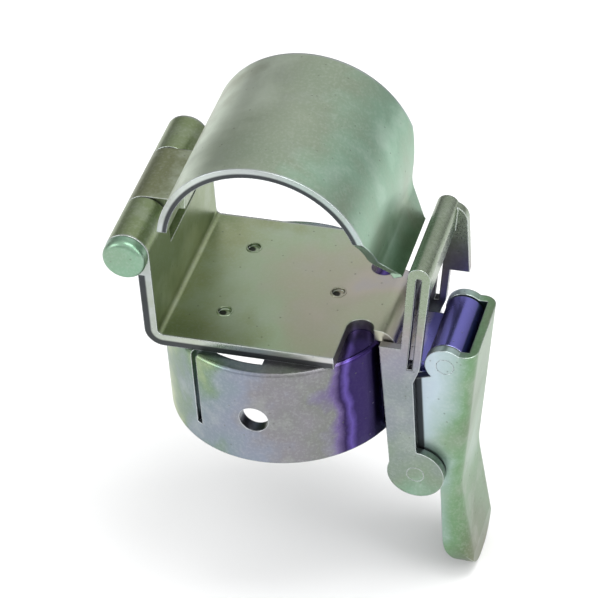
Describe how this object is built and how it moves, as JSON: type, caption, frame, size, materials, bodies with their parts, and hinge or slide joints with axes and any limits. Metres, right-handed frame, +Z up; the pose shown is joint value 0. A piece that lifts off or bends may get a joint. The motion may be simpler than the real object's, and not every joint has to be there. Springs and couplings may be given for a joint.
{
  "type": "angle pipe clamp",
  "caption": "Pressed steel pipe clamp with a hinged arched cover and a draw latch over a flat saddle, on a round cup that takes the end of an upright pipe.",
  "frame": {"origin": "on the cup's axis at the underside of its roof, where the upright pipe ends", "axes": "+Z up from the cup to the saddle, +X towards the latch, Y along the crossing pipe"},
  "size_m": [0.0793, 0.055, 0.1217],
  "materials": {
    "zinc_plate": "zinc plated with a faint yellow and violet chromate sheen",
    "zinc_pin": "zinc plated"
  },
  "bodies": {
    "base": {"base_plate": "zinc_plate", "socket_ring": "zinc_plate", "hinge_pin": "zinc_pin"},
    "cover": {"cover": "zinc_plate"},
    "lever": {"latch_lever": "zinc_plate", "lever_pin": "zinc_pin", "link_pin": "zinc_pin"},
    "link": {"latch_link": "zinc_plate"}
  },
  "joints": [
    {"name": "cover_hinge", "type": "hinge", "parent": "base", "child": "cover", "pos_m": [-0.0274, 0, 0.0281], "axis": [0, -1, 0], "range_deg": [0, 150]},
    {"name": "lever_hinge", "type": "hinge", "parent": "base", "child": "lever", "pos_m": [0.0397, 0, -0.002], "axis": [0, -1, 0], "range_deg": [0, 90]},
    {"name": "link_hinge", "type": "hinge", "parent": "lever", "child": "link", "pos_m": [0.0325, 0, -0.0335], "axis": [0, -1, 0], "range_deg": [-90, 0]}
  ],
  "couplings": [
    {"joint": "link_hinge", "follows": "lever_hinge", "ratio": -1}
  ]
}
